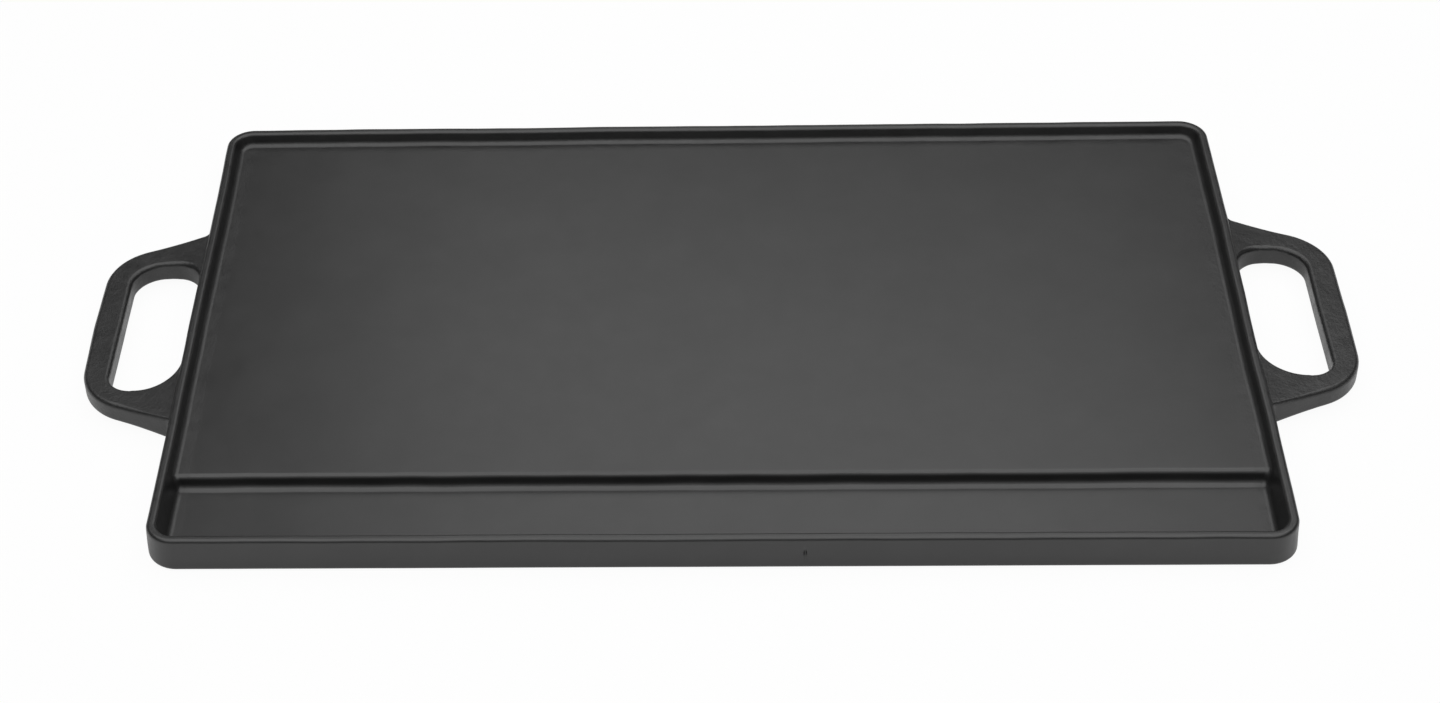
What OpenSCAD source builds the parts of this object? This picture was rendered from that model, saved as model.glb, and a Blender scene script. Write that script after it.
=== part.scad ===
// Cast-iron camp griddle plate with a grease trough along its front and a loop handle at each end.
// Millimetres. The origin is under the middle of the plate, on the surface it rests on.
// +X runs through the right handle, +Y to the back, +Z up. The trough is at the front.

/* [Plate] */
// Width of the plate at its foot, without the handles
plate_w = 430; // [320:1:600]
// Depth of the plate at its foot, front to back
plate_d = 264.5; // [220:0.5:400]
// Radius of the plate's corners in plan, at the foot
corner_r = 12; // [11:0.5:30]
// Thickness of the iron under the cooking surface and under the trough
floor_t = 3.8; // [3.4:0.1:8]
// Slope of the outer wall from upright, so that it leaves the mould
wall_draft = 3; // [1:0.1:8]
// Rounding of the outer wall's lower edge
base_edge_r = 1.8; // [0.4:0.1:2]

/* [Rim] */
// Rise of the rim above the cooking surface
rim_rise = 5.4; // [4.5:0.1:9]
// Width of the rim's top
rim_w = 3.6; // [3.4:0.1:6]
// Rounding of the rim's two top edges
rim_edge_r = 1.6; // [0.4:0.1:1.8]
// Slope of the rim's inner wall from upright
rim_draft = 15; // [1:0.5:20]
// Fillet where the rim's inner wall meets the floor inside it
rim_foot_r = 2.6; // [1:0.1:4]

/* [Grease trough] */
// Width of the trough, from the step's top edge to the rim's inner top edge
trough_w = 38; // [26:0.5:70]
// Drop from the cooking surface to the trough floor
step_h = 5.4; // [4.8:0.1:10]
// Slope of the step's face from upright
step_draft = 10; // [4:1:25]
// Rounding along the step's top edge
step_edge_r = 2.4; // [0.4:0.1:2.8]
// Fillet along the step's foot
step_foot_r = 3.2; // [0.5:0.1:3.6]

/* [Handles] */
// Reach of each handle beyond the plate's foot
handle_reach = 39; // [32:0.5:60]
// Place of the left handle's middle, behind the plate's own middle
left_handle_y = -1; // [-30:0.5:30]
// Place of the right handle's middle, behind the plate's own middle
right_handle_y = 3.5; // [-30:0.5:30]
// Length of the finger hole, front to back
hole_l = 80; // [64:1:110]
// Fillet of the finger hole where the back arm meets the plate
web_back_r = 11; // [6:0.5:20]
// Fillet of the finger hole where the front arm meets the plate
web_front_r = 18; // [6:0.5:20]
// Radius of the finger hole's corners at the grip, where the fillets leave room for it
hole_r = 13; // [4:0.5:16]
// Width of the grip bar, seen from above
grip_w = 11.5; // [8:0.5:16]
// Thickness of the grip bar
grip_t = 9; // [6:0.25:11]
// Width of each arm where it meets the plate, before its fillet
arm_root_w = 19.5; // [15:0.5:26]
// Width of each arm at the grip's outer corner
arm_tip_w = 3.5; // [2:0.5:12]
// Outward bow of the grip at its middle
grip_bow = 0.7; // [0.2:0.1:3]
// Radius of the handle's outer corners
loop_r = 24; // [10:0.5:26]
// Fillet where an arm's outer edge meets the plate
root_fillet_r = 3.5; // [2:0.5:14]
// Thickness of an arm where it meets the plate
root_t = 11; // [9.5:0.25:11]
// Distance from the plate over which an arm thins to the grip's thickness
root_flare = 20; // [10:1:30]
// Rounding of the handle's edges
handle_edge_r = 2; // [0.5:0.25:2.5]

/* [Grill bars underneath] */
// Thickness of the skirt round the hollow underside, at the foot
skirt_t = 5; // [4:0.25:6]
// Slope of the skirt's inner wall from upright
skirt_draft = 8; // [2:1:12]
// Fillet where the hollow's walls meet its ceiling
hollow_r = 3; // [0.5:0.25:3.5]
// Spacing of the grill bars
bar_pitch = 16; // [11:0.5:30]
// Width of a grill bar at its root
bar_root_w = 7; // [5:0.25:10]
// Width of a grill bar at its tip
bar_tip_w = 4; // [2.5:0.25:5]
// Rounding of a grill bar's tip edges
bar_edge_r = 1; // [0.3:0.1:1.2]
// Height at which the bars stop short of the surface the plate rests on
bar_clear = 1; // [0.5:0.1:2]
// Gutter between the bars and the hollow's walls
bar_gutter = 9; // [5:0.5:25]

/* [Hidden] */
iron = [0.23, 0.23, 0.23];

// Facets round a full turn, and straight steps along a rounded corner
$fn = 96;
corner_steps = 6;
loop_steps = 8;
edge_steps = 3;
// Reach of a cut beyond the faces it passes through
over = 1;
// Share of a corner's turn on each side of its mitre
mitre = 45;
// Smallest radius of the finger hole's corners at the grip, and shortest straight beside it
hole_least_r = 2;
hole_least_l = 1;

// Heights
plate_h = floor_t + step_h + rim_rise;
cook_z = floor_t + step_h;
trough_z = floor_t;
hollow_z = cook_z - floor_t;

// Upright axes of the four corners. Every wall goes round a corner about its axis.
axis_x = plate_w / 2 - corner_r;
axis_y = plate_d / 2 - corner_r;

// Distances of the rim's walls from a corner's axis
rim_out = corner_r - plate_h * tan(wall_draft);
rim_in = rim_out - rim_w;
skirt_in = corner_r - skirt_t;

// Places of the step between cooking surface and trough, front to back, in whole hundredths
function hundredth(v) = round(v * 100) / 100;

step_y = hundredth(trough_w - axis_y - rim_in);
step_foot_y = hundredth(step_y - step_h * tan(step_draft));
joint_y = hundredth(step_foot_y - 2 * step_foot_r);
level_y = hundredth(step_y + 2 * step_edge_r);
hollow_axis_y = hundredth(step_y + floor_t + skirt_in);

// Handle outlines, as distance from the plate's wall and distance along it.
// A fillet at the plate and a radius at the grip share the gap between them.
handle_z = plate_h / 2;
grip_out = handle_reach + handle_z * tan(wall_draft);
grip_in = grip_out - grip_w;
arm_out = hole_l / 2 + arm_root_w;
loop_out = hole_l / 2 + arm_tip_w;

function web_fit(web_r) = min(web_r, grip_in - hole_least_r - hole_least_l);

function hole_fit(web_r) = min(hole_r, grip_in - hole_least_l - web_fit(web_r));

// Grill bars: half the field's width, and the two ends of each bar's straight part
hollow_wall = skirt_in - hollow_z * tan(skirt_draft);
bar_field = axis_x + hollow_wall - bar_gutter - bar_root_w / 2;
bars_each_side = floor(bar_field / bar_pitch);
bar_front = hundredth(hollow_axis_y - hollow_wall + bar_gutter + bar_root_w / 2);
bar_back = hundredth(axis_y + hollow_wall - bar_gutter - bar_root_w / 2);

// Outline through points given as [x, y, radius], with each corner rounded to its radius
function rounded(p, steps) = [
    for (i = [0 : len(p) - 1])
        each rounded_corner(p[(i + len(p) - 1) % len(p)], p[i], p[(i + 1) % len(p)], steps)
];

function flat(p) = [p.x, p.y];

function toward(a, b) = (flat(b) - flat(a)) / norm(flat(b) - flat(a));

function rounded_corner(before, at, after, steps) =
    at[2] == 0 ? [flat(at)] : arc_between(flat(at), toward(at, before), toward(at, after), at[2], steps);

function arc_between(at, u, v, r, steps) =
    let (
        half = acos(u * v) / 2,
        middle = at + (u + v) / norm(u + v) * r / sin(half),
        from = at + u * r / tan(half) - middle,
        to = at + v * r / tan(half) - middle,
        start = atan2(from.y, from.x),
        turn = (atan2(to.y, to.x) - start + 540) % 360 - 180
    )
    [for (k = [0 : steps]) middle + r * [cos(start + turn * k / steps), sin(start + turn * k / steps)]];

// Section of the plate's edge, from a corner's axis outwards, round a floor at height z
function edge_section(z) = rounded([
    [0, 0, 0],
    [corner_r, 0, base_edge_r],
    [rim_out, plate_h, rim_edge_r],
    [rim_in, plate_h, rim_edge_r],
    [rim_in - (plate_h - z) * tan(rim_draft), z, rim_foot_r],
    [0, z, 0]
], corner_steps);

// Section of the hollow's edge, from a corner's axis outwards
hollow_section = rounded([
    [0, -over, 0],
    [skirt_in + over * tan(skirt_draft), -over, 0],
    [hollow_wall, hollow_z, hollow_r],
    [0, hollow_z, 0]
], corner_steps);

// Half a grill bar's section, from its middle outwards
bar_section = rounded([
    [0, hollow_z, 0],
    [0, bar_clear, 0],
    [bar_tip_w / 2, bar_clear, bar_edge_r],
    [bar_root_w / 2, hollow_z, 0]
], corner_steps);

function mirrored(p) = [for (i = [len(p) - 1 : -1 : 0]) [-p[i].x, p[i].y]];

// Straight run of a section that stands out along +X, from one y to another
module run(section, from, to) {
    translate([0, to, 0])
        rotate([90, 0, 0])
            linear_extrude(to - from)
                polygon(section);
}

// Part of a turn of a section about its own upright axis
module turned(section, start, sweep) {
    rotate([0, 0, start])
        rotate_extrude(angle = sweep)
            polygon(section);
}

// One side of the plate's edge along its front or back, mitred at both corners
module long_edge(section, facing) {
    mirror([0, facing < 0 ? 1 : 0, 0])
        translate([0, axis_y, 0]) {
            rotate([0, 0, 90])
                run(section, -axis_x, axis_x);
            translate([axis_x, 0, 0])
                turned(section, 90, -mitre);
            translate([-axis_x, 0, 0])
                turned(section, 90, mitre);
        }
}

// Wedge under the step's face, on the inner part of a side of the plate
module step_end() {
    step_outline = rounded([
        [level_y, cook_z, 0],
        [step_y, cook_z, step_edge_r],
        [step_foot_y, trough_z, step_foot_r],
        [joint_y, trough_z, 0],
        [joint_y, trough_z - over, 0],
        [level_y, trough_z - over, 0]
    ], corner_steps);
    rotate([90, 0, 90])
        linear_extrude(rim_in + rim_w / 2)
            polygon(step_outline);
}

// Hollow under the cooking surface
module hollow() {
    translate([-axis_x, hollow_axis_y, -over])
        cube([2 * axis_x, axis_y - hollow_axis_y, hollow_z + over]);
    translate([0, axis_y, 0])
        rotate([0, 0, 90])
            run(hollow_section, -axis_x, axis_x);
    translate([0, hollow_axis_y, 0])
        rotate([0, 0, -90])
            run(hollow_section, -axis_x, axis_x);
    for (side = [0, 1])
        mirror([side, 0, 0])
            translate([axis_x, 0, 0]) {
                run(hollow_section, hollow_axis_y, axis_y);
                translate([0, axis_y, 0])
                    turned(hollow_section, 0, 90);
                translate([0, hollow_axis_y, 0])
                    turned(hollow_section, 0, -90);
            }
}

// Right-hand end of the plate, from the front mitre to the back one
module side_rim() {
    difference() {
        translate([axis_x, 0, 0]) {
            run(edge_section(trough_z), -axis_y, level_y + over);
            run(edge_section(cook_z), level_y, axis_y);
            translate([0, -axis_y, 0])
                turned(edge_section(trough_z), 0, -mitre);
            translate([0, axis_y, 0])
                turned(edge_section(cook_z), 0, mitre);
            step_end();
        }
        hollow();
    }
}

// Thickness of a handle at a distance from the plate's wall
function handle_thick(s) = grip_t + (root_t - grip_t) * pow(max(0, 1 - s / root_flare), 2);

// Stations round the loop: its outer outline, and the edge of its finger hole beside it
function half_outer() = let (bow = grip_out - grip_bow) concat(
    rounded_corner([0, arm_out + over], [0, arm_out, root_fillet_r], [bow, loop_out], corner_steps),
    rounded_corner([0, arm_out], [bow, loop_out, loop_r], [grip_out, 0], loop_steps)
);

function half_inner(web_r) = concat(
    rounded_corner([0, 0], [0, hole_l / 2, web_fit(web_r)], [grip_in, hole_l / 2], corner_steps),
    rounded_corner([0, hole_l / 2], [grip_in, hole_l / 2, hole_fit(web_r)], [grip_in, 0], loop_steps)
);

function whole_loop(back, middle, front) = concat(
    back,
    [middle],
    [for (i = [len(front) - 1 : -1 : 0]) [front[i].x, -front[i].y]]
);

// One rounded-rectangle section of the bar, between a point outside and one inside the loop
function bar_ring(outer, inner) =
    let (half_w = norm(outer - inner) / 2, edge = handle_edge_r)
    [
        for (quarter = [0 : 3], k = [0 : edge_steps])
            let (
                a = 90 * (quarter + k / edge_steps),
                side_w = quarter == 0 || quarter == 3 ? 1 : -1,
                side_z = quarter < 2 ? 1 : -1,
                across = side_w * (half_w - edge) + edge * cos(a),
                place = (outer + inner) / 2 + (outer - inner) / (2 * half_w) * across,
                z = handle_z + side_z * (handle_thick(place.x) / 2 - edge) + edge * sin(a),
                lean = max(0, 1 - place.x / root_flare) * z + min(1, place.x / root_flare) * handle_z
            )
            [plate_w / 2 - lean * tan(wall_draft) + place.x, place.y, z]
    ];

// Loop handle on the plate's right-hand wall
module handle() {
    outer = whole_loop(half_outer(), [grip_out, 0], half_outer());
    inner = whole_loop(half_inner(web_back_r), [grip_in, 0], half_inner(web_front_r));
    rings = [for (i = [0 : len(outer) - 1]) bar_ring(outer[i], inner[i])];
    n = len(rings[0]);
    last = (len(rings) - 1) * n;
    polyhedron(
        points = [for (ring = rings) each ring],
        faces = concat(
            [[for (k = [0 : n - 1]) k]],
            [
                for (i = [0 : len(rings) - 2], k = [0 : n - 1])
                    let (a = i * n + k, b = i * n + (k + 1) % n)
                    each [[a, a + n, b], [b, a + n, b + n]]
            ],
            [[for (k = [n - 1 : -1 : 0]) last + k]]
        )
    );
}

module cooking_plate() {
    outline = rounded([
        [joint_y, 0, 0],
        [axis_y, 0, 0],
        [axis_y, cook_z, 0],
        [step_y, cook_z, step_edge_r],
        [step_foot_y, trough_z, step_foot_r],
        [joint_y, trough_z, 0]
    ], corner_steps);
    color(iron)
        difference() {
            rotate([90, 0, 90])
                linear_extrude(2 * axis_x, center = true)
                    polygon(outline);
            hollow();
        }
}

module grease_trough() {
    color(iron) {
        long_edge(edge_section(trough_z), -1);
        translate([-axis_x, -axis_y, 0])
            cube([2 * axis_x, joint_y + axis_y, trough_z]);
    }
}

module back_rim() {
    color(iron)
        difference() {
            long_edge(edge_section(cook_z), 1);
            hollow();
        }
}

module left_rim() {
    color(iron)
        mirror([1, 0, 0])
            side_rim();
}

module right_rim() {
    color(iron)
        side_rim();
}

module left_handle() {
    color(iron)
        mirror([1, 0, 0])
            translate([0, left_handle_y, 0])
                handle();
}

module right_handle() {
    color(iron)
        translate([0, right_handle_y, 0])
            handle();
}

module grill_bars() {
    color(iron)
        for (i = [-bars_each_side : bars_each_side])
            translate([i * bar_pitch, 0, 0]) {
                run(concat(bar_section, mirrored(bar_section)), bar_front, bar_back);
                translate([0, bar_back, 0])
                    turned(bar_section, 0, 180);
                translate([0, bar_front, 0])
                    turned(bar_section, 180, 180);
            }
}

cooking_plate();
grease_trough();
back_rim();
left_rim();
right_rim();
left_handle();
right_handle();
grill_bars();
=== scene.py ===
"""Looks of a cast-iron camp griddle plate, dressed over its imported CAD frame.

Metres, in the CAD frame: +X runs through the right handle, +Y to the back, +Z up.
Each region of the casting is rebuilt as a dense closed mesh in place of its CAD node.
"""

import math

import bmesh
import bpy
import numpy as np
from mathutils import Matrix, Vector


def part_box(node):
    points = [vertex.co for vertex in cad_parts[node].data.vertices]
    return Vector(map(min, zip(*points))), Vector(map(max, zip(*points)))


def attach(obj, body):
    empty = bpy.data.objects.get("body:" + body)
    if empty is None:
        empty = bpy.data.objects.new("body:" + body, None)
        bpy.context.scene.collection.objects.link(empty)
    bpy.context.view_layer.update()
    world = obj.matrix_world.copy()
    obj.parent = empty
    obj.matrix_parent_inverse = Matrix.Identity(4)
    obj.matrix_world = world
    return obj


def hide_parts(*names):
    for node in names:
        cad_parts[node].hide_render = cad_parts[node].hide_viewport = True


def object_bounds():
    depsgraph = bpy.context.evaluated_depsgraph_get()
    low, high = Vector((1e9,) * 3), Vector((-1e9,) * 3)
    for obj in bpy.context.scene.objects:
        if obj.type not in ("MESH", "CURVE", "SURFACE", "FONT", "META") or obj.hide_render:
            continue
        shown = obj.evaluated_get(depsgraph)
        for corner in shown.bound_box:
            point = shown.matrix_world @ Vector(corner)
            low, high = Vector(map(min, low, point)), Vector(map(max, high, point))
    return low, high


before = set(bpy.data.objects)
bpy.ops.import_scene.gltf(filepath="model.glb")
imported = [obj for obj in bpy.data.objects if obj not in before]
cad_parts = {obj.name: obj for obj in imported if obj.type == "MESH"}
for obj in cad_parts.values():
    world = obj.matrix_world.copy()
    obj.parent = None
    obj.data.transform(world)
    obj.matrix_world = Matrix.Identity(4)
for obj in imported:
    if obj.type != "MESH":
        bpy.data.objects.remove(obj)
cad_low, cad_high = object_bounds()

MM = 0.001

# Places that the frame gives; the cooking plate ends at the axes of the rounded corners
plate_low, plate_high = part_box("cooking_plate")
bars_low, bars_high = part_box("grill_bars")
AXIS_X, AXIS_Y, COOK_Z = plate_high
JOINT_Y = plate_low.y
TOP_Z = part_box("back_rim")[1].z
HOLLOW_Z = bars_high.z
HANDLE_REACH_X = cad_high.x

# The plate's edge, its step and its trough
CORNER_R = 12 * MM
TROUGH_Z = 3.8 * MM
WALL_DRAFT = math.tan(math.radians(3))
BASE_EDGE_R = 1.8 * MM
RIM_W = 3.6 * MM
RIM_EDGE_R = 1.6 * MM
RIM_LEAN = math.radians(15)
RIM_FOOT_R = 2.6 * MM
TROUGH_W = 38 * MM
STEP_LEAN = math.tan(math.radians(10))
STEP_EDGE_R = 2.4 * MM
STEP_FOOT_R = 3.2 * MM
SKIRT_T = 5 * MM
SKIRT_LEAN = math.tan(math.radians(8))
HOLLOW_R = 3 * MM
FLOOR_T = 3.8 * MM

RIM_OUT = CORNER_R - TOP_Z * WALL_DRAFT
RIM_IN = RIM_OUT - RIM_W
SKIRT_IN = CORNER_R - SKIRT_T
HOLLOW_IN = SKIRT_IN - HOLLOW_Z * SKIRT_LEAN
STEP_Y = TROUGH_W - AXIS_Y - RIM_IN
STEP_FOOT_Y = STEP_Y - (COOK_Z - TROUGH_Z) * STEP_LEAN
HOLLOW_AXIS_Y = STEP_Y + FLOOR_T + SKIRT_IN

# Ways that the edges face in plan, and the turn from an edge to its mitre, in degrees
RIGHT = 0
BACK = 90
FRONT = 270
MITRE = 45

# Normal of a level floor, as (y, z)
UP = (0.0, 1.0)

# The handles
HOLE_L = 80 * MM
WEB_BACK_R = 11 * MM
WEB_FRONT_R = 18 * MM
HOLE_R = 13 * MM
HOLE_LEAST_L = 1 * MM
GRIP_W = 11.5 * MM
GRIP_T = 9 * MM
ARM_ROOT_W = 19.5 * MM
ARM_TIP_W = 3.5 * MM
GRIP_BOW = 0.7 * MM
LOOP_R = 24 * MM
ROOT_FILLET_R = 3.5 * MM
ROOT_T = 11 * MM
ROOT_FLARE = 20 * MM
HANDLE_EDGE_R = 2 * MM

# Rounded corners of a handle's section in turn, as signs across the loop and up
SECTION_CORNERS = [(1, 1), (-1, 1), (-1, -1), (1, -1)]

# The grill bars
BAR_PITCH = 16 * MM
BAR_ROOT_W = 7 * MM
BAR_TIP_W = 4 * MM
BAR_EDGE_R = 1 * MM
BAR_FILLET_R = 1 * MM

# Fineness of the meshes
FILLET_STEPS = 10
TURN_STEPS = 24
SPACING = 3 * MM
WALL_SPACING = 0.4 * MM
BAR_SPACING = 4 * SPACING
ARM_STEPS = 6
GRIP_STEPS = 10
WELD = 1e-7
SHARP = math.radians(40)

# Unevenness of the casting's faces: slow waves and ripples over them, as height, spans and count,
# the share of their movement along each axis, and the height over which they fade in
WAVES = [
    (0.15 * MM, (45 * MM, 140 * MM), 9),
    (0.08 * MM, (14 * MM, 40 * MM), 14),
]
WAVE_SHARES = (1.0, 1.0, 0.18)
WAVE_FADE = 5 * MM
WAVE_SEED = 11
rng = np.random.default_rng(WAVE_SEED)

# Small upright dent in the front wall
DENT_X = 31.8 * MM
DENT_Z = 7.2 * MM
DENT_HALF_W = 0.6 * MM
DENT_HALF_H = 2.2 * MM
DENT_DEPTH = 0.9 * MM
DENT_REACH = 3 * MM
DENT_SPACING = 0.2 * MM

# Look of the iron: mottled tone, film of gloss, uneven skin and the mould's sand
SPECULAR = 0.7
MOTTLE = {"Scale": 55.0, "Detail": 6.0, "Roughness": 0.62}
MOTTLE_SPAN = (0.3, 0.72)
FILM = {"Scale": 140.0, "Detail": 5.0, "Roughness": 0.6}
FILM_SPAN = (0.3, 0.7)
SKIN = {"Scale": 160.0, "Detail": 3.0, "Roughness": 0.5}
SKIN_RELIEF = 0.24 * MM
SAND = {"Scale": 900.0, "Detail": 4.0, "Roughness": 0.55}
SAND_RELIEF = 0.12 * MM

# Floor, and its share of plain white as seen directly and in reflections
FLOOR_SIZE = 12.0
FLOOR_GAP = 0.2 * MM
FLOOR_TONE = 0.9
WHITE_SEEN = 0.95
WHITE_MIRRORED = 0.42

# Studio: a dim room that is white low down, and soft boxes as place, size and radiance
ROOM = 0.11
LOW_ROOM = 1.0
HORIZON = (0.02, 0.06)
SOFT_BOXES = {
    "overhead": ((0.0, 0.0, 1.2), (2.2, 1.7), 1.5),
    "behind": ((0.3, 0.7, 0.9), (1.3, 0.4), 0.64),
    "rear": ((0.03, 0.9, 0.79), (0.74, 0.4), 0.69),
    "front": ((0.0, -0.9, 1.0), (1.8, 1.0), 0.5),
}

# Camera at the photo's viewing angle
FRAME_W = 1440
FOCAL_PX = 2794.871
CENTRE_PX = 603.666
SENSOR_W = 36.0
ELEVATION = math.radians(40.0)
AZIMUTH = math.radians(2.795)
ROLL = math.radians(-2.21)
AIM = Vector((-45.91 * MM, -6.03 * MM, 0))
DISTANCE = 1137.4 * MM


def spaced(start, end, step):
    """Places from start to end, no further apart than step."""
    count = max(1, math.ceil(abs(end - start) / step))
    return np.linspace(start, end, count + 1)


def arc(before, at, after, radius, steps=FILLET_STEPS):
    """Points of the arc of that radius in the corner at, between the lines to before and after."""
    before, at, after = (np.array(p, float) for p in (before, at, after))
    u = (before - at) / np.linalg.norm(before - at)
    v = (after - at) / np.linalg.norm(after - at)
    half = math.acos(np.clip(u @ v, -1, 1)) / 2
    middle = at + (u + v) / np.linalg.norm(u + v) * radius / math.sin(half)
    start = at + u * radius / math.tan(half) - middle
    end = at + v * radius / math.tan(half) - middle
    first = math.atan2(start[1], start[0])
    turn = (math.atan2(end[1], end[0]) - first + math.pi) % (2 * math.pi) - math.pi
    angles = first + turn * np.linspace(0, 1, steps + 1)
    return middle + radius * np.stack([np.cos(angles), np.sin(angles)], axis=1)


# Sections of the edge, as distance outwards from a corner's axis and height
rim_low = (RIM_IN - TOP_Z * math.tan(RIM_LEAN), 0)
rim_inner = (RIM_IN, TOP_Z)
rim_outer = (RIM_OUT, TOP_Z)
wall_foot = (CORNER_R, 0)
CREST = np.concatenate([
    arc(rim_low, rim_inner, rim_outer, RIM_EDGE_R),
    arc(rim_inner, rim_outer, wall_foot, RIM_EDGE_R),
])
BASE_EDGE = arc(rim_outer, wall_foot, (0, 0), BASE_EDGE_R)
WALL_Z = spaced(CREST[-1][1], BASE_EDGE[0][1], WALL_SPACING)[1:-1]
WALL = np.stack([CORNER_R - WALL_Z * WALL_DRAFT, WALL_Z], axis=1)
RIM_TOP = np.concatenate([CREST, WALL, BASE_EDGE])
HOLLOW = np.concatenate([
    [(SKIRT_IN, 0)],
    arc((SKIRT_IN, 0), (HOLLOW_IN, HOLLOW_Z), (0, HOLLOW_Z), HOLLOW_R),
    [(0, HOLLOW_Z)],
])

# Profile of the step from the trough floor up to the cooking surface: points and their normals
step_foot = (STEP_FOOT_Y, TROUGH_Z)
step_edge = (STEP_Y, COOK_Z)
STEP = np.concatenate([
    arc((JOINT_Y, TROUGH_Z), step_foot, step_edge, STEP_FOOT_R),
    arc(step_foot, step_edge, (AXIS_Y, COOK_Z), STEP_EDGE_R),
])
FACE_TILT = math.atan(1 / STEP_LEAN)
STEP_TILTS = np.concatenate([
    np.linspace(0, FACE_TILT, FILLET_STEPS + 1),
    np.linspace(FACE_TILT, 0, FILLET_STEPS + 1),
])
STEP_NORMALS = np.stack([-np.sin(STEP_TILTS), np.cos(STEP_TILTS)], axis=1)


def foot_ring(place, normal):
    """Floor point and rim-foot fillet at a point of the floor, rolled as a ball along floor and wall.

    Gives (out, y, z) points, and the y of the wall above them.
    """
    y, z = np.array(place) + RIM_FOOT_R * np.array(normal)
    wall = RIM_IN - (TOP_Z - z) * math.tan(RIM_LEAN)
    centre = np.array([wall - RIM_FOOT_R / math.cos(RIM_LEAN), y, z])
    start = np.array([0, -normal[0], -normal[1]])
    end = np.array([math.cos(RIM_LEAN), 0, -math.sin(RIM_LEAN)])
    span = math.acos(start @ end)
    shares = np.linspace(0, 1, FILLET_STEPS + 1)[:, None]
    arms = (np.sin((1 - shares) * span) * start + np.sin(shares * span) * end) / math.sin(span)
    return np.concatenate([[(0, *place)], centre + RIM_FOOT_R * arms]), y


def hollow_ring(past):
    """The hollow's section at a distance past the axis of its front corner."""
    out = np.sqrt(np.maximum(HOLLOW[:, 0] ** 2 - past**2, 0))
    height = np.interp(past, HOLLOW[::-1, 0], HOLLOW[::-1, 1])
    inside = HOLLOW[:, 0] >= past
    return np.stack([out, np.where(inside, HOLLOW[:, 1], height)], axis=1)


def edge_ring(place, normal, under):
    """Whole section of the edge round one point of the floor, as (out, y, z)."""
    foot, y = foot_ring(place, normal)
    top = [(out, y, z) for out, z in RIM_TOP]
    low = [(out, y, z) for out, z in under]
    return np.concatenate([foot, top, low])


def turned(ring, axis, angle):
    """A section stood on a corner's axis, facing that way in plan."""
    out, _, height = ring.T
    x = axis[0] + out * math.cos(angle)
    y = axis[1] + out * math.sin(angle)
    return np.stack([x, y, height], axis=1)


def corner_turns(start, end):
    """Angles of a corner's stations, in degrees in and radians out."""
    return np.radians(np.linspace(start, end, TURN_STEPS + 1))


# The casting's waves, as wave vector, movement and phase
waves = [
    (
        2 * math.pi / rng.uniform(*span) * direction / np.linalg.norm(direction),
        rng.normal(size=3) * WAVE_SHARES * height / math.sqrt(count),
        rng.uniform(0, 2 * math.pi),
    )
    for height, span, count in WAVES
    for direction in rng.normal(size=(count, 3))
]


def uneven(points):
    """Moves points by the casting's waves, which fade out towards the foot it stands on."""
    points = np.array(points, float)
    moved = sum(np.sin(points @ k + phase)[:, None] * way for k, way, phase in waves)
    fade = np.clip(points[:, 2] / WAVE_FADE, 0, 1)[:, None]
    return np.clip(points + fade * moved, cad_low, cad_high)


def mesh_object(name, bm):
    """Object of a finished mesh, shaded smooth with its corners kept sharp."""
    bmesh.ops.remove_doubles(bm, verts=bm.verts, dist=WELD)
    bmesh.ops.dissolve_degenerate(bm, edges=bm.edges, dist=WELD)
    bmesh.ops.recalc_face_normals(bm, faces=bm.faces)
    mesh = bpy.data.meshes.new(name)
    bm.to_mesh(mesh)
    bm.free()
    mesh.shade_smooth()
    mesh.set_sharp_from_angle(angle=SHARP)
    piece = bpy.data.objects.new(name, mesh)
    bpy.context.scene.collection.objects.link(piece)
    normals = piece.modifiers.new("even_normals", "WEIGHTED_NORMAL")
    normals.keep_sharp = True
    return piece


def add_loft(bm, rings):
    """Adds a closed skin through rings of one size, capped at both ends."""
    grid = [[bm.verts.new(p) for p in uneven(ring)] for ring in rings]
    size = len(grid[0])
    for a, b in zip(grid, grid[1:]):
        for k in range(size):
            m = (k + 1) % size
            bm.faces.new((a[k], a[m], b[m], b[k]))
    bm.faces.new(grid[0])
    bm.faces.new(grid[-1][::-1])


def loft(name, *skins):
    """Object of one or more closed skins, each a list of rings."""
    bm = bmesh.new()
    for rings in skins:
        add_loft(bm, rings)
    return mesh_object(name, bm)


def cooking_surface():
    """Slab with the step along its front, lofted from left to right."""
    top = [(y, COOK_Z) for y in spaced(STEP[-1][0], AXIS_Y, SPACING)[1:]]
    ceiling = [(y, HOLLOW_Z) for y in spaced(AXIS_Y, HOLLOW_AXIS_Y, SPACING)]
    wall = [(HOLLOW_AXIS_Y - out, z) for out, z in HOLLOW[-2::-1]]
    profile = np.array([(JOINT_Y, TROUGH_Z), *STEP, *top, *ceiling, *wall, (JOINT_Y, 0)])
    return [np.insert(profile, 0, x, axis=1) for x in spaced(-AXIS_X, AXIS_X, SPACING)]


def dented(ring):
    """Pushes the dent into a ring's points on the front wall."""
    x, y, z = ring.T
    spread = ((x - DENT_X) / DENT_HALF_W) ** 2 + ((z - DENT_Z) / DENT_HALF_H) ** 2
    depth = DENT_DEPTH * np.exp(-spread)
    on_wall = y < -AXIS_Y - (RIM_IN + RIM_OUT) / 2
    return ring + np.outer(depth * on_wall, (0, 1, 0))


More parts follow.
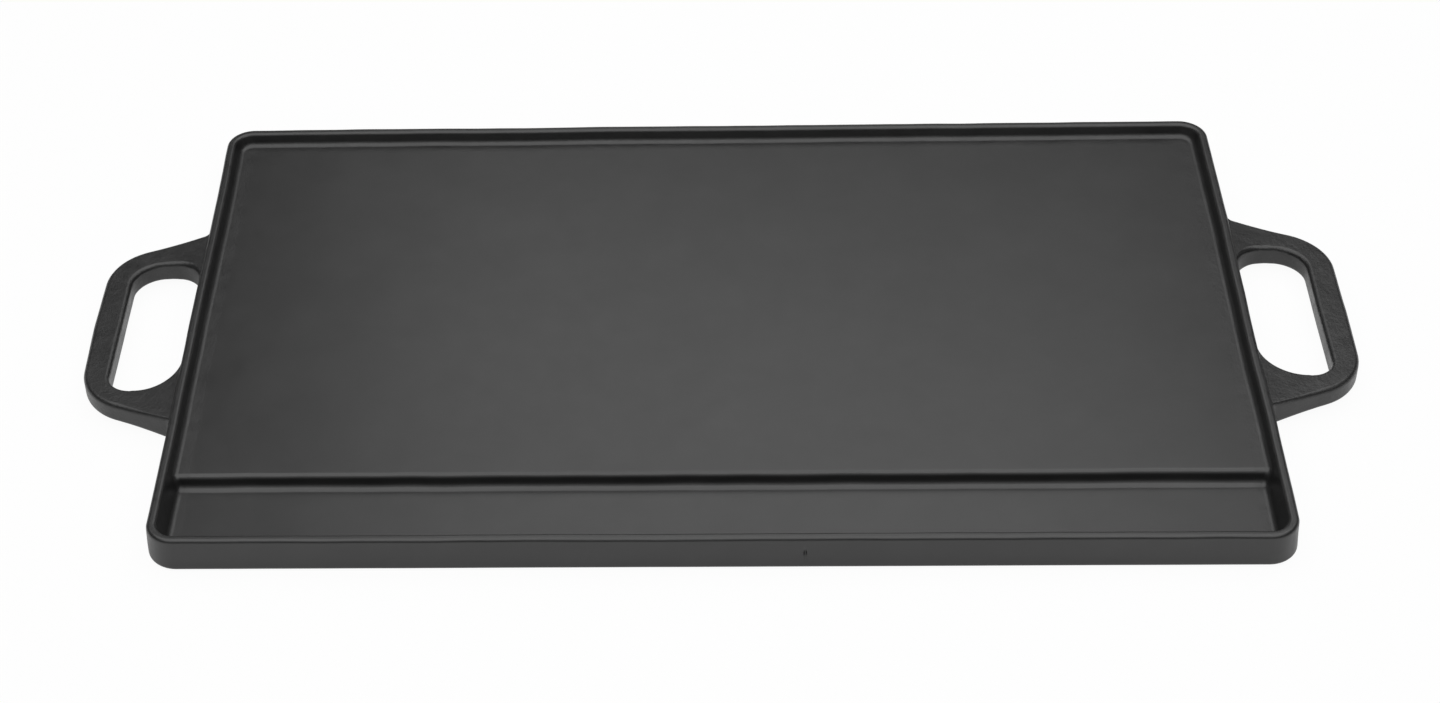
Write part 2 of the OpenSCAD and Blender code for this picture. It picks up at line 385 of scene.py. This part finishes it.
def trough():
    """Trough floor and front wall with its dent, and half of each front corner."""
    section = edge_ring((0, TROUGH_Z), UP, [(0, 0)])
    inward = JOINT_Y + AXIS_Y
    floor = np.array([(-out, 0, TROUGH_Z) for out in spaced(inward, 0, SPACING)[:-1]])
    under = np.array([(-out, 0, 0) for out in spaced(0, inward, SPACING)[1:]])
    wide = np.concatenate([floor, section, under])
    narrow = np.where(wide[:, :1] > 0, wide, wide * (0, 0, 1))
    facing = math.radians(FRONT)
    left, right = (-AXIS_X, -AXIS_Y), (AXIS_X, -AXIS_Y)
    stations = [x for x in spaced(-AXIS_X, AXIS_X, SPACING) if abs(x - DENT_X) > DENT_REACH]
    stations += list(spaced(DENT_X - DENT_REACH, DENT_X + DENT_REACH, DENT_SPACING))
    rings = [turned(narrow, left, a) for a in corner_turns(FRONT - MITRE, FRONT)]
    rings += [dented(turned(wide, (x, -AXIS_Y), facing)) for x in sorted(stations)]
    rings += [turned(narrow, right, a) for a in corner_turns(FRONT, FRONT + MITRE)]
    return rings


def back():
    """Back rim, with half of each back corner."""
    section = edge_ring((0, COOK_Z), UP, HOLLOW)
    facing = math.radians(BACK)
    left, right = (-AXIS_X, AXIS_Y), (AXIS_X, AXIS_Y)
    rings = [turned(section, right, a) for a in corner_turns(BACK - MITRE, BACK)]
    rings += [turned(section, (x, AXIS_Y), facing) for x in spaced(AXIS_X, -AXIS_X, SPACING)[1:]]
    rings += [turned(section, left, a) for a in corner_turns(BACK, BACK + MITRE)[1:]]
    return rings


def side(hand):
    """Rim along one end, from the front mitre over the step's end to the back mitre."""
    front = edge_ring((0, TROUGH_Z), UP, hollow_ring(SKIRT_IN))
    rear = edge_ring((0, COOK_Z), UP, HOLLOW)
    hollow_start = HOLLOW_AXIS_Y - SKIRT_IN
    turns = np.linspace(0, math.pi / 2, FILLET_STEPS + 1)
    level = [
        *spaced(STEP[-1][0], hollow_start, SPACING)[1:-1],
        *(HOLLOW_AXIS_Y - SKIRT_IN * np.cos(turns)),
        *spaced(HOLLOW_AXIS_Y, AXIS_Y, SPACING)[1:],
    ]
    stations = [((y, TROUGH_Z), UP) for y in spaced(-AXIS_Y, STEP[0][0], SPACING)[:-1]]
    stations += list(zip(STEP, STEP_NORMALS))
    stations += [((y, COOK_Z), UP) for y in level]
    rings = [turned(front, (AXIS_X, -AXIS_Y), a) for a in corner_turns(RIGHT - MITRE, RIGHT)[:-1]]
    for place, normal in stations:
        past = min(max(HOLLOW_AXIS_Y - place[0], 0), SKIRT_IN)
        rings.append(edge_ring(place, normal, hollow_ring(past)) + (AXIS_X, 0, 0))
    rings += [turned(rear, (AXIS_X, AXIS_Y), a) for a in corner_turns(RIGHT, RIGHT + MITRE)[1:]]
    return [ring * (hand, 1, 1) for ring in rings]


def between(a, b, count):
    """Points on the line from a to b, without either end."""
    return [a + (b - a) * k / count for k in range(1, count)]


def loop_half(root, corner, middle):
    """Half an outline of a handle: its root arc, arm, corner arc and half its grip."""
    middle = np.array(middle)
    return [
        *root,
        *between(root[-1], corner[0], ARM_STEPS),
        *corner,
        *between(corner[-1], middle, GRIP_STEPS),
        middle,
    ]


def mirrored_half(half):
    """The other half of an outline, from its middle back to the root."""
    return [p * (1, -1) for p in half[-2::-1]]


def hole_half(grip_in, web):
    """Half the outline of a finger hole with that fillet at the plate."""
    half = HOLE_L / 2
    corner_r = min(HOLE_R, grip_in - HOLE_LEAST_L - web)
    return loop_half(
        arc((0, 0), (0, half), (grip_in, half), web, TURN_STEPS),
        arc((0, half), (grip_in, half), (grip_in, 0), corner_r, TURN_STEPS),
        (grip_in, 0),
    )


def handle(hand, cad_node):
    """Loop handle, lofted round its bar from the back root to the front one."""
    low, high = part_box(cad_node)
    middle_y = (low.y + high.y) / 2
    middle_z = (low.z + high.z) / 2
    foot_x = AXIS_X + CORNER_R
    grip_out = HANDLE_REACH_X - foot_x + middle_z * WALL_DRAFT
    grip_in = grip_out - GRIP_W
    arm, tip = HOLE_L / 2 + ARM_ROOT_W, HOLE_L / 2 + ARM_TIP_W
    bow = grip_out - GRIP_BOW
    outer = loop_half(
        arc((0, arm + ARM_ROOT_W), (0, arm), (bow, tip), ROOT_FILLET_R, TURN_STEPS),
        arc((0, arm), (bow, tip), (grip_out, 0), LOOP_R, TURN_STEPS),
        (grip_out, 0),
    )
    outer += mirrored_half(outer)
    inner = hole_half(grip_in, WEB_BACK_R) + mirrored_half(hole_half(grip_in, WEB_FRONT_R))
    rings = []
    for out, into in zip(outer, inner):
        half_w = np.linalg.norm(out - into) / 2
        along = (out - into) / (2 * half_w)
        ring = []
        for quarter, (wide, tall) in enumerate(SECTION_CORNERS):
            for k in range(FILLET_STEPS + 1):
                a = math.pi / 2 * (quarter + k / FILLET_STEPS)
                across = wide * (half_w - HANDLE_EDGE_R) + HANDLE_EDGE_R * math.cos(a)
                s, t = (out + into) / 2 + along * across
                near = min(max(1 - s / ROOT_FLARE, 0), 1)
                thick = GRIP_T + (ROOT_T - GRIP_T) * near**2
                z = middle_z + tall * (thick / 2 - HANDLE_EDGE_R) + HANDLE_EDGE_R * math.sin(a)
                lean = near * z + (1 - near) * middle_z
                ring.append((hand * (foot_x - lean * WALL_DRAFT + s), middle_y + t, z))
        rings.append(np.array(ring))
    return rings


def bars():
    """Grill bars: upright skins of stadium outlines, from a filleted root to a rounded tip."""
    front_y = bars_low.y + BAR_ROOT_W / 2
    back_y = bars_high.y - BAR_ROOT_W / 2
    ceiling = (BAR_PITCH / 2, HOLLOW_Z)
    root = (BAR_ROOT_W / 2, HOLLOW_Z)
    tip = (BAR_TIP_W / 2, bars_low.z)
    side_line = np.concatenate([
        arc(ceiling, root, tip, BAR_FILLET_R),
        arc(root, tip, (0, bars_low.z), BAR_EDGE_R),
    ])
    turns = np.linspace(0, math.pi, TURN_STEPS + 1)
    reach = (bars_high.x - bars_low.x - BAR_ROOT_W) / 2
    skins = []
    for x in np.arange(-reach, reach + BAR_PITCH / 2, BAR_PITCH):
        rings = []
        for half, z in side_line:
            rear = [(x + half * math.cos(a), back_y + half * math.sin(a), z) for a in turns]
            fore = [(x - half * math.cos(a), front_y - half * math.sin(a), z) for a in turns]
            left = [(x - half, y, z) for y in spaced(back_y, front_y, BAR_SPACING)[1:-1]]
            right = [(x + half, y, z) for y in spaced(front_y, back_y, BAR_SPACING)[1:-1]]
            rings.append(np.array([*rear, *left, *fore, *right]))
        skins.append(rings)
    return skins


def node(tree, kind, **values):
    """Adds a shader node and sets its sockets by name."""
    made = tree.nodes.new(kind)
    for name, value in values.items():
        made.inputs[name.replace("_", " ")].default_value = value
    return made


def remap(tree, value, span, result):
    """Takes a value from one span to another."""
    low, high = result
    made = node(tree, "ShaderNodeMapRange", From_Min=span[0], From_Max=span[1], To_Min=low, To_Max=high)
    tree.links.new(value, made.inputs["Value"])
    return made.outputs["Result"]


def combine(tree, operation, first, second):
    """Works out two values, each a socket or a number, by a math operation."""
    made = node(tree, "ShaderNodeMath")
    made.operation = operation
    for socket, value in zip(made.inputs, (first, second)):
        if isinstance(value, float):
            socket.default_value = value
        else:
            tree.links.new(value, socket)
    return made.outputs[0]


def iron(name, tones, gloss, grain):
    """Seasoned cast iron: mottled grey, uneven gloss and the grain of the mould."""
    material = bpy.data.materials.new(name)
    material.use_nodes = True
    tree = material.node_tree
    link = tree.links.new
    shader = tree.nodes["Principled BSDF"]
    shader.inputs["Specular IOR Level"].default_value = SPECULAR
    place = node(tree, "ShaderNodeTexCoord").outputs["Object"]

    def noise(values):
        """Noise over the piece's own coordinates."""
        made = node(tree, "ShaderNodeTexNoise", **values)
        link(place, made.inputs["Vector"])
        return made.outputs["Fac"]

    mottle = node(tree, "ShaderNodeValToRGB")
    for element, position, tone in zip(mottle.color_ramp.elements, MOTTLE_SPAN, tones):
        element.position = position
        element.color = (tone, tone, tone, 1)
    link(noise(MOTTLE), mottle.inputs["Fac"])
    link(mottle.outputs["Color"], shader.inputs["Base Color"])
    link(remap(tree, noise(FILM), FILM_SPAN, gloss), shader.inputs["Roughness"])

    skin = node(tree, "ShaderNodeBump", Strength=grain, Distance=SKIN_RELIEF)
    link(noise(SKIN), skin.inputs["Height"])
    sand = node(tree, "ShaderNodeBump", Strength=grain, Distance=SAND_RELIEF)
    link(noise(SAND), sand.inputs["Height"])
    link(skin.outputs["Normal"], sand.inputs["Normal"])
    link(sand.outputs["Normal"], shader.inputs["Normal"])
    return material


cooking_iron = iron("cooking_iron", tones=(0.011, 0.017), gloss=(0.3, 0.34), grain=0.08)
rim_iron = iron("rim_iron", tones=(0.009, 0.015), gloss=(0.3, 0.42), grain=0.45)
rough_iron = iron("rough_iron", tones=(0.009, 0.015), gloss=(0.3, 0.42), grain=1.0)

# Each piece, the CAD node that it replaces, the record's slot and its material
pieces = [
    (loft("griddle_surface", cooking_surface()), "cooking_plate", "cooking_iron", cooking_iron),
    (loft("trough_and_front", trough()), "grease_trough", "cooking_iron", cooking_iron),
    (loft("rear_rim", back()), "back_rim", "rough_iron", rim_iron),
    (loft("left_end_rim", side(-1)), "left_rim", "rough_iron", rim_iron),
    (loft("right_end_rim", side(1)), "right_rim", "rough_iron", rim_iron),
    (loft("left_loop", handle(-1, "left_handle")), "left_handle", "rough_iron", rough_iron),
    (loft("right_loop", handle(1, "right_handle")), "right_handle", "rough_iron", rough_iron),
    (loft("ribbed_underside", *bars()), "grill_bars", "rough_iron", rough_iron),
]
for piece, cad_node, slot, material in pieces:
    piece.data.materials.append(material)
    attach(piece, "root")
    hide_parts(cad_node)

# Floor: white to the camera, part white in reflections, over its own shading, which keeps the shadow
floor_mesh = bpy.data.meshes.new("floor")
floor_corners = [(-1, -1), (1, -1), (1, 1), (-1, 1)]
floor_mesh.from_pydata(
    [(x * FLOOR_SIZE / 2, y * FLOOR_SIZE / 2, -FLOOR_GAP) for x, y in floor_corners],
    [],
    [range(len(floor_corners))],
)
floor = bpy.data.objects.new("floor", floor_mesh)
bpy.context.scene.collection.objects.link(floor)
paper = bpy.data.materials.new("paper")
paper.use_nodes = True
tree = paper.node_tree
tree.nodes.remove(tree.nodes["Principled BSDF"])
matt = node(tree, "ShaderNodeBsdfDiffuse", Color=(FLOOR_TONE, FLOOR_TONE, FLOOR_TONE, 1))
white = node(tree, "ShaderNodeEmission", Strength=1.0)
ray = node(tree, "ShaderNodeLightPath").outputs
seen = combine(tree, "MULTIPLY", ray["Is Camera Ray"], WHITE_SEEN)
either = combine(tree, "MAXIMUM", ray["Is Glossy Ray"], ray["Is Transmission Ray"])
mirrored = combine(tree, "MULTIPLY", either, WHITE_MIRRORED)
mix = node(tree, "ShaderNodeMixShader")
tree.links.new(combine(tree, "MAXIMUM", seen, mirrored), mix.inputs["Fac"])
tree.links.new(matt.outputs[0], mix.inputs[1])
tree.links.new(white.outputs[0], mix.inputs[2])
tree.links.new(mix.outputs[0], tree.nodes["Material Output"].inputs["Surface"])
floor_mesh.materials.append(paper)

# Room
world = bpy.data.worlds.new("studio")
bpy.context.scene.world = world
world.use_nodes = True
tree = world.node_tree
room = tree.nodes["Background"]
room.inputs["Color"].default_value = (1, 1, 1, 1)
way = node(tree, "ShaderNodeTexCoord")
parts = node(tree, "ShaderNodeSeparateXYZ")
tree.links.new(way.outputs["Generated"], parts.inputs[0])
tree.links.new(remap(tree, parts.outputs["Z"], HORIZON, (LOW_ROOM, ROOM)), room.inputs["Strength"])

# Soft boxes, which face the middle of the part's foot
for name, (place, size, radiance) in SOFT_BOXES.items():
    lamp = bpy.data.lights.new(name, "AREA")
    lamp.shape = "RECTANGLE"
    lamp.size, lamp.size_y = size
    lamp.energy = radiance * math.pi * size[0] * size[1]
    holder = bpy.data.objects.new(name, lamp)
    holder.location = place
    holder.rotation_euler = (Vector((0.0, 0.0, 0.0)) - Vector(place)).to_track_quat("-Z", "Y").to_euler()
    bpy.context.scene.collection.objects.link(holder)

# Camera
backward = Vector((
    math.sin(AZIMUTH) * math.cos(ELEVATION),
    -math.cos(AZIMUTH) * math.cos(ELEVATION),
    math.sin(ELEVATION),
))
level_right = Vector((math.cos(AZIMUTH), math.sin(AZIMUTH), 0))
level_up = backward.cross(level_right)
right = level_right * math.cos(ROLL) + level_up * math.sin(ROLL)
up = level_up * math.cos(ROLL) - level_right * math.sin(ROLL)
lens = bpy.data.cameras.new("camera")
lens.sensor_width = SENSOR_W
lens.lens = FOCAL_PX / FRAME_W * SENSOR_W
lens.shift_x = (FRAME_W / 2 - CENTRE_PX) / FRAME_W
camera = bpy.data.objects.new("camera", lens)
turn = Matrix((right, up, backward)).transposed().to_4x4()
camera.matrix_world = Matrix.Translation(AIM + backward * DISTANCE) @ turn
bpy.context.scene.collection.objects.link(camera)
bpy.context.scene.camera = camera
bpy.context.scene.view_settings.view_transform = "Standard"
